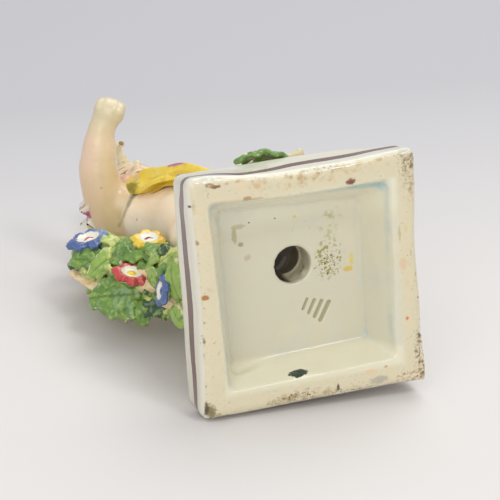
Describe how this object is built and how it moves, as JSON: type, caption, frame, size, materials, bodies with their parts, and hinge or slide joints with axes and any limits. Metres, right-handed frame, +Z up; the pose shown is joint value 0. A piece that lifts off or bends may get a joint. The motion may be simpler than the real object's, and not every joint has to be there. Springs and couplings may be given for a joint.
{
  "type": "pearlware putto figure",
  "caption": "Small glazed pottery putto striding forward with one arm stretched out, in a sash, before a flower-hung tree stump on a square hollow plinth.",
  "frame": {"origin": "middle of the bounding box, on the plane of the plinth's underside", "axes": "+Z up through the standing figure, -Y the way it faces, +X towards its left hand"},
  "size_m": [0.0704, 0.0616, 0.123],
  "materials": {
    "glazed_pearlware": "cream pearlware under a clear bluish glaze, with flesh, yellow, green, blue, red and puce enamels"
  },
  "bodies": {
    "root": {"putto_figure": "glazed_pearlware"}
  },
  "joints": []
}
